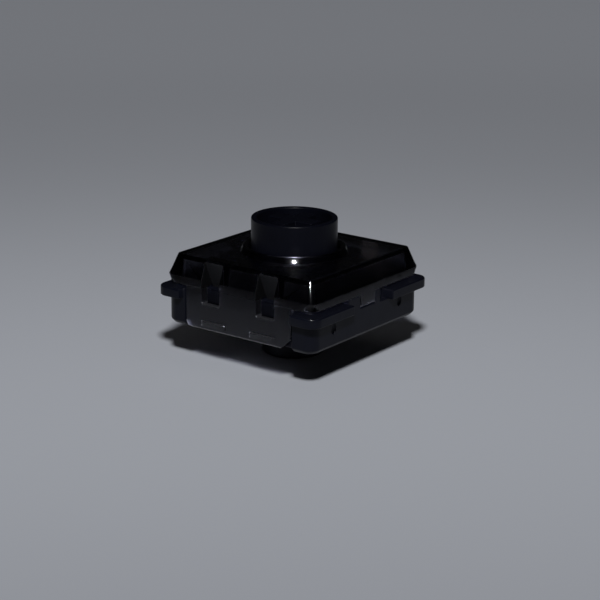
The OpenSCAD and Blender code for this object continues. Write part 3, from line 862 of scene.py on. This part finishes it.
def painted_light_of(c, n):
    """The level of painted light and shade on a face of the cover, or 0 where it stays clear.

    Light runs down through the skirts and leaves at their far edges; that glow is painted on as a lighter
    colour, and so are the light on the slots' backs and the shade on their left walls.
    """
    to_right = n.x if c.y < 0 else -n.x         # as seen by someone who faces the skirt
    on_skirt = abs(c.y) > skirt_back and c.z < split_z
    at_tab = abs(c.x) > body_half - 0.8 and abs(c.y) < tab_half + 0.08 and c.z < split_z
    if at_window(c) and to_right > 0.9 and hook_top < c.z < slot_top and abs(c.y) > slot_foot:
        return PAINTED_LIGHT_LEVELS["slot_wall"]
    if in_slot(c, n) and c.y * n.y > 1.5:
        return PAINTED_LIGHT_LEVELS["slot_back"]
    if at_jamb(c) and n.z > 0.2 and c.z < sill_z + 0.1:
        return PAINTED_LIGHT_LEVELS["sill"]
    if on_skirt and to_right < -0.2 and (abs(n.y) > 0.2 or n.z < -0.2):
        if c.z < 0.75 and abs(c.x) > skirt_half - 0.6:
            return PAINTED_LIGHT_LEVELS["skirt_corner"]
        return PAINTED_LIGHT_LEVELS["skirt_end"] if abs(c.x) > 4 else PAINTED_LIGHT_LEVELS["rim"]
    if on_skirt and abs(c.y) > skirt_face + 0.01 and n.z > 0.2:
        return PAINTED_LIGHT_LEVELS["rim"]
    if at_tab and abs(n.x) > 0.2:
        at_far_end = (c.y if c.x > 0 else -c.y) > 0.8 and abs(n.y) > 0.2
        return PAINTED_LIGHT_LEVELS["tab"] if at_far_end or n.z < -0.2 else PAINTED_LIGHT_LEVELS["clear"]
    return PAINTED_LIGHT_LEVELS["clear"]


def top_cover():
    obj = join(cover_shell(), collar(), *slot_backing())
    rears = window_cutters(split_z - 0.1)
    for rear in rears:
        rear.data.transform(HALF_TURN)
    cut(obj, collar_bore(), *window_cutters(split_z + 0.5), *slot_cutters(), *rears)
    soften(obj, cover_round, cover_rounding)
    cover = piece(obj, "smoked_cover", "housing", "top_cover", cover_plastic)
    # a second, opaque material paints light and shade on some faces
    cover.data.materials.append(cover_painted_light)
    faces = [(face.center / MM, face.normal.copy()) for face in cover.data.polygons]
    for name, rule in (("matt", grain_of), ("bowed", bow_of), ("painted_light_level", painted_light_of)):
        layer = cover.data.attributes.new(name, "FLOAT", "FACE")
        for k, (c, n) in enumerate(faces):
            layer.data[k].value = rule(c, n)
    # the faces with painted light and shade take that material
    for face, (c, n) in zip(cover.data.polygons, faces):
        face.material_index = 1 if painted_light_of(c, n) else 0
    return cover


# ---------------------------------------------------------------- stem

def stem():
    rim = 0.12
    pocket_round = 0.1
    ring = lathe([
        (0, shoulder_z), (ring_ro, shoulder_z),
        *arc(ring_ro - rim, rim_z - rim, rim, 0, 90, 10), (0, rim_z)], 160)
    pocket = lathe([
        (0, pocket_z), (ring_ri - pocket_round, pocket_z),
        *arc(ring_ri - pocket_round, pocket_z + pocket_round, pocket_round, -90, 0, 8),
        *arc(ring_ri + rim, rim_z - rim, rim, 180, 90, 10),
        (ring_ri + rim, rim_z + OVER), (0, rim_z + OVER)], 160)
    plate = along("z", shoulder_z, shoulder_top, round_rect(shoulder_half, shoulder_half, 0.8, 8))
    wings = box((-leg_out, -leg_half, shoulder_z), (leg_out, leg_half, shoulder_top))
    obj = join(ring, plate, wings)
    cut(obj, pocket, cylinder(well_r, shoulder_z - OVER, shoulder_z + 0.25, 64))

    cross_half = 2.05
    cross_top = rim_z - 0.15
    arms = [box((-x, -y, pocket_z - LAP), (x, y, cross_top))
            for x, y in ((cross_half, 0.655), (0.585, cross_half))]
    legs = copies(box((leg_out - leg_t, -leg_half, 3.1), (leg_out, leg_half, shoulder_z + LAP)), MIRROR_X)
    nose_r = 0.25
    nose_z = shoulder_z - 0.4
    nose_root = shoulder_half - 0.4
    nose_tip = stem_high.y
    nose = along("x", -0.3, 0.3, [
        (nose_root, nose_z - nose_r), *arc(nose_tip - nose_r, nose_z, nose_r, -90, 0, 8),
        (nose_tip, shoulder_z + LAP), (nose_root, shoulder_z + LAP)])
    rod_r = 0.85
    rod_top = shoulder_z + 0.35
    rod = lathe([
        (0, stem_low.z), (rod_r - 0.25, stem_low.z), (rod_r, stem_low.z + 0.4),
        (rod_r, rod_top), (0, rod_top)], 48)
    join(obj, *arms, *legs, nose, rod)
    soften(obj, 0.06)
    return piece(obj, "ring_stem", "stem", "stem", stem_plastic)


# ---------------------------------------------------------------- spring

def sweep(points, r, sides):
    """A round wire along points, with closed ends."""
    bm = bmesh.new()
    rows = []
    up = Vector((0, 0, 1))
    for k, p in enumerate(points):
        a = points[max(k - 1, 0)]
        b = points[min(k + 1, len(points) - 1)]
        t = (b - a).normalized()
        side = t.cross(up).normalized()
        high = side.cross(t)
        angles = [2 * math.pi * i / sides for i in range(sides)]
        rows.append([bm.verts.new(p + r * (math.cos(w) * side + math.sin(w) * high)) for w in angles])
    for a, b in zip(rows, rows[1:]):
        for i in range(sides):
            j = (i + 1) % sides
            bm.faces.new((a[i], a[j], b[j], b[i]))
    bm.faces.new(list(reversed(rows[0])))
    bm.faces.new(rows[-1])
    return new_solid(bm)


def spring():
    """A coil with a closed turn at each end."""
    wire_r = 0.14
    turns = 9
    steps = 40
    r = coil_high.x - wire_r
    z0 = coil_low.z + wire_r
    z1 = coil_high.z - wire_r
    closed = 2 * wire_r + 0.01
    pitch = (z1 - z0 - 2 * closed) / (turns - 2)
    points = []
    for k in range(turns * steps + 1):
        t = k / steps
        if t < 1:
            z = z0 + closed * t
        elif t > turns - 1:
            z = z1 - closed * (turns - t)
        else:
            z = z0 + closed + pitch * (t - 1)
        points.append(Vector((r * math.cos(2 * math.pi * t), r * math.sin(2 * math.pi * t), z)))
    obj = piece(sweep(points, wire_r, 14), "coil_spring", "housing", "return_spring", steel)
    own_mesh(obj)
    return obj


# ---------------------------------------------------------------- terminals and contacts

def bends(corners, r, closed=False, steps=5):
    """The corners' line with each bend rounded over a length r, as (point, direction)."""
    pts = [Vector(c) for c in corners]
    n = len(pts)
    out = []
    if not closed:
        out.append((pts[0], (pts[1] - pts[0]).normalized()))
    for k in range(n) if closed else range(1, n - 1):
        a, b, c = pts[k - 1], pts[k], pts[(k + 1) % n]
        room = min(r, 0.45 * (a - b).length, 0.45 * (c - b).length)
        start, end = b + room * (a - b).normalized(), b + room * (c - b).normalized()
        for i in range(steps + 1):
            t = i / steps
            point = (1 - t) ** 2 * start + 2 * t * (1 - t) * b + t * t * end
            out.append((point, ((1 - t) * (b - start) + t * (end - b)).normalized()))
    if not closed:
        out.append((pts[-1], (pts[-1] - pts[-2]).normalized()))
    return out


def blank(corners, r):
    """A stamped outline with its corners rounded."""
    return [tuple(p) for p, way in bends(corners, r, closed=True)]


def folded(corners, r, t, low, high):
    """A strip of sheet that stands on edge and follows the corners in plan."""
    line = bends(corners, r)
    sides = [[p + s * t / 2 * Vector((-way.y, way.x)) for p, way in line] for s in (1, -1)]
    return along("z", low, high, [tuple(p) for p in sides[0] + sides[1][::-1]])


def pin(x, y, top):
    """A terminal's pin, cut to a point."""
    point_z = floor_z + 0.7
    tip_half = 0.25
    right_edge = [(x + tip_half, floor_z), (x + pin_half, point_z), (x + pin_half, top)]
    left_edge = [(x - pin_half, top), (x - pin_half, point_z), (x - tip_half, floor_z)]
    return along("y", y - sheet_t / 2, y + sheet_t / 2, blank(left_edge + right_edge, 0.08))


def rivet(y_back, y_face):
    """A contact's head between two planes, with a domed face, a flat rim and a short shank."""
    rise = abs(y_face - y_back)
    dome = 0.35 * rise
    shank = 0.05
    shank_r = 0.6 * contact_r
    steps = 6
    angles = [math.pi / 2 * k / steps for k in range(1, steps)]
    head = lathe([
        (0, -shank), (shank_r, -shank), (shank_r, 0), (contact_r, 0), (contact_r, rise - dome),
        *[(contact_r * math.cos(a), rise - dome + dome * math.sin(a)) for a in angles], (0, rise)], 48)
    turn = Matrix.Rotation(math.radians(-90 if y_face > y_back else 90), 4, "X")
    head.data.transform(Matrix.Translation((contact_x, y_back, contact_z)) @ turn)
    return head


def leaf_terminal():
    """A folded sheet with a pin. Its arm ends in a curl, in which the leaf's root turns."""
    end_x = terminal_low.x + sheet_t / 2
    curl_ro = 0.44
    curl_ri = curl_ro - sheet_t
    near_x = hinge_x - curl_ro
    wall = folded([
        (leaf_pin_x + pin_half, leaf_pin_y), (end_x, leaf_pin_y), (end_x, rear_y), (hinge_x, rear_y)],
        0.3, sheet_t, foot_z, sheet_top)
    plate = along("y", rear_y - sheet_t / 2, rear_y + sheet_t / 2, blank([
        (near_x, foot_z), (terminal_high.x, foot_z), (terminal_high.x, terminal_high.z),
        (near_x, terminal_high.z)], 0.25))
    arm = box((near_x, hinge_y, leaf_low_z), (near_x + sheet_t, rear_y, leaf_high_z))
    curl = along("z", leaf_low_z, leaf_high_z, [
        *arc(hinge_x, hinge_y, curl_ro, 74, 286, 20), *arc(hinge_x, hinge_y, curl_ri, 286, 74, 20)])
    obj = join(wall, plate, arm, curl, pin(leaf_pin_x, leaf_pin_y, foot_z + LAP))
    soften(obj, 0.03, segments=2)
    return piece(obj, "stamped_terminal", "housing", "leaf_terminal", brass)


def fixed_terminal():
    """A flat sheet with a pin, and a tongue for the fixed contact."""
    near_x = contact_x - 0.6
    far_x = contact_x + 0.75
    left = fixed_pin_x - pin_half
    step_z = foot_z + 1
    outline = [
        (left, foot_z), (tongue_high.x, foot_z), (tongue_high.x, sheet_top), (far_x, sheet_top),
        (far_x, tongue_high.z), (near_x, tongue_high.z), (near_x, step_z), (left, step_z)]
    sheet = along("y", rear_y - sheet_t / 2, rear_y + sheet_t / 2, blank(outline, 0.15))
    obj = join(sheet, pin(fixed_pin_x, rear_y, foot_z + LAP))
    soften(obj, 0.03, segments=2)
    return piece(obj, "tongue_terminal", "housing", "fixed_terminal", brass)


def contact_leaf():
    """A thin strip from the curl to the contact, with a slanted cam that the stem's nose pushes."""
    cam_half = 0.7
    cam_slope = math.tan(math.radians(flex["range_deg"][1])) * -hinge_x / travel
    cam_y = hinge_y - 0.3
    mid_z = shoulder_z - 0.4 - travel / 2
    arm_y = cam_y + cam_slope * (leaf_high_z - mid_z) + leaf_t / 2
    tip_y = rivet_low.y - leaf_t / 2
    blade = folded([
        (hinge_x, hinge_y), (-cam_half, arm_y), (cam_half, arm_y), (contact_x - 0.7, tip_y),
        (contact_x + 0.45, tip_y)], 0.3, leaf_t, leaf_low_z, leaf_high_z)
    root = cylinder(0.2, leaf_low_z, leaf_high_z, 32, (hinge_x, hinge_y))
    cam = along("x", -cam_half, cam_half, [
        (cam_y + side + cam_slope * (z - mid_z), z)
        for side, z in ((0, leaf_low.z), (leaf_t, leaf_low.z), (leaf_t, leaf_high.z), (0, leaf_high.z))])
    obj = join(blade, root, cam)
    soften(obj, 0.02, segments=2)
    return piece(obj, "spring_leaf", "leaf", "contact_leaf", bronze)


def contact(name, body, node_name, y_back, y_face):
    return piece(rivet(y_back, y_face), name, body, node_name, silver)


base_housing()
top_cover()
stem()
spring()
leaf_terminal()
fixed_terminal()
contact_leaf()
contact("moving_contact", "leaf", "leaf_contact_point", rivet_low.y, rivet_high.y)
contact("fixed_contact", "housing", "fixed_contact_point", anvil_high.y, anvil_low.y)


# ---------------------------------------------------------------- floor, light and camera

def lamp(name, azimuth, elevation, distance, size, power, colour=(1, 1, 1)):
    """A round area lamp that faces the origin. Azimuth 0 is in front, towards -Y, and 90 at +X."""
    a, e = math.radians(azimuth), math.radians(elevation)
    place = distance * Vector((math.sin(a) * math.cos(e), -math.cos(a) * math.cos(e), math.sin(e)))
    data = bpy.data.lights.new(name, "AREA")
    data.shape = "DISK"
    data.size = size
    data.energy = power
    data.color = colour
    obj = bpy.data.objects.new(name, data)
    obj.location = place
    obj.rotation_mode = "QUATERNION"
    obj.rotation_quaternion = place.to_track_quat("Z", "Y")
    bpy.context.scene.collection.objects.link(obj)
    return obj


def ramp(tree, value, low, high, hue, levels):
    """A shade of one hue over a range of value. The levels are evenly spaced."""
    n = node(tree, "ShaderNodeValToRGB")
    n.color_ramp.interpolation = "B_SPLINE"
    n.color_ramp.elements.remove(n.color_ramp.elements[1])
    for k, level in enumerate(levels):
        stop = n.color_ramp.elements[0] if k == 0 else n.color_ramp.elements.new(k / (len(levels) - 1))
        stop.color = (*[level * h for h in hue], 1)
    tree.links.new(spread(tree, value, 0, 1, low, high), n.inputs["Fac"])
    return n.outputs["Color"]


def stage_floor(key):
    """The floor. Its grey grows paler away from the near lamp, so that it looks even."""
    mat, tree, shader = material("studio_grey")
    place = node(tree, "ShaderNodeNewGeometry").outputs["Position"]
    away = node(tree, "ShaderNodeVectorMath", operation="DISTANCE")
    away.inputs[1].default_value = key.location
    tree.links.new(place, away.inputs[0])
    hue = (0.957, 1.0, 1.10)
    grey = ramp(tree, away.outputs["Value"], 0.110, 0.310, hue,
                (0.094, 0.17, 0.34, 0.455, 0.515, 0.56, 0.665, 0.75, 0.77, 0.75, 0.73))
    far = ramp(tree, away.outputs["Value"], 0.220, 0.400, hue, (0, 0.01, 0.06, 0.09, 0.105, 0.115, 0.12))
    slow = noise(tree, 0.004, 2.0)
    shade = node(tree, "ShaderNodeMix", data_type="RGBA", blend_type="MULTIPLY", Factor=1.0)
    tree.links.new(grey, shade.inputs[6])
    cloud = tint(tree, spread(tree, slow, 0, 1), (0.97, 0.97, 0.97), (1.03, 1.03, 1.03))
    tree.links.new(cloud, shade.inputs[7])
    tree.links.new(shade.outputs[2], shader.inputs["Base Color"])
    ray = node(tree, "ShaderNodeLightPath")
    seen = node(tree, "ShaderNodeMath", operation="ADD")
    tree.links.new(ray.outputs["Is Glossy Ray"], seen.inputs[0])
    tree.links.new(ray.outputs["Is Transmission Ray"], seen.inputs[1])
    either = node(tree, "ShaderNodeMath", operation="ADD", use_clamp=True)
    tree.links.new(ray.outputs["Is Camera Ray"], either.inputs[0])
    tree.links.new(seen.outputs[0], either.inputs[1])
    tree.links.new(far, shader.inputs["Emission Color"])
    tree.links.new(either.outputs[0], shader.inputs["Emission Strength"])
    shader.inputs["Roughness"].default_value = 0.9
    shader.inputs["Specular IOR Level"].default_value = 0.1
    bm = bmesh.new()
    bmesh.ops.create_circle(bm, cap_ends=True, radius=3.0, segments=96)
    mesh = bpy.data.meshes.new("floor")
    bm.to_mesh(mesh)
    bm.free()
    floor = bpy.data.objects.new("floor", mesh)
    floor.location.z = floor_z * MM
    mesh.materials.append(mat)
    bpy.context.scene.collection.objects.link(floor)


stage_floor(lamp("key", azimuth=37, elevation=44, distance=0.161, size=0.017, power=0.27))
lamp("ceiling", azimuth=0, elevation=90, distance=0.8, size=1.0, power=0.15, colour=(1.0, 0.96, 0.90))

world = bpy.data.worlds.new("studio")
bpy.context.scene.world = world
world.use_nodes = True
world.node_tree.nodes["Background"].inputs["Color"].default_value = (0.0045, 0.0045, 0.0050, 1)

# the camera, solved from the outlines in the photo
camera = bpy.data.objects.new("camera", bpy.data.cameras.new("camera"))
camera.data.sensor_width = 36.0
camera.data.lens = 107.46
camera.data.clip_start = 0.01
camera.data.clip_end = 10.0
right = Vector((0.79875, 0.60160, 0.00926)).normalized()
back = Vector((0.57369, -0.76615, 0.28966)).normalized()
up = back.cross(right).normalized()
right = up.cross(back).normalized()
turn = Matrix((right, up, back)).transposed().to_4x4()
camera.matrix_world = Matrix.Translation((0.079407, -0.105245, 0.041266)) @ turn
bpy.context.scene.collection.objects.link(camera)
bpy.context.scene.camera = camera

bpy.context.scene.view_settings.view_transform = "Standard"

for leftover in list(made):
    bpy.data.objects.remove(leftover)
bpy.context.view_layer.update()
